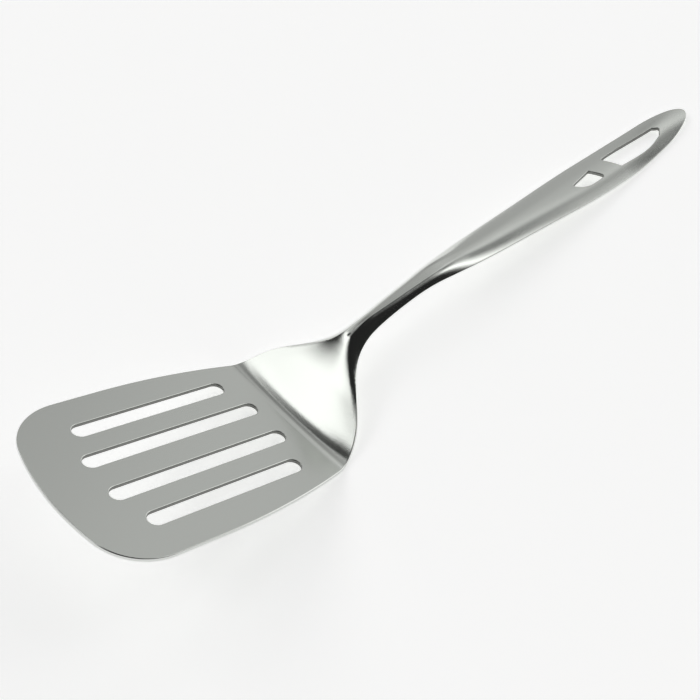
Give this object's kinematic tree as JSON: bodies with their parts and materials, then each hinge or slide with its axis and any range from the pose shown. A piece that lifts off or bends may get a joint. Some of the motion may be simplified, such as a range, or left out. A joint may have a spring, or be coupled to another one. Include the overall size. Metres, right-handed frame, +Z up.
{
  "type": "slotted turner",
  "caption": "One-piece pressed steel kitchen turner: flat blade with long drain slots, raised neck and arched handle with openings for hanging.",
  "frame": {"origin": "centre of the bounding box in plan, at table height, with the turner resting on its heel and the sides of its grip", "axes": "+X towards the end of the handle, +Z up, +Y to the left of someone who looks along +X"},
  "size_m": [0.3534, 0.0896, 0.0541],
  "materials": {
    "steel": "satin"
  },
  "bodies": {
    "root": {"turner_pressing": "steel"}
  },
  "joints": []
}
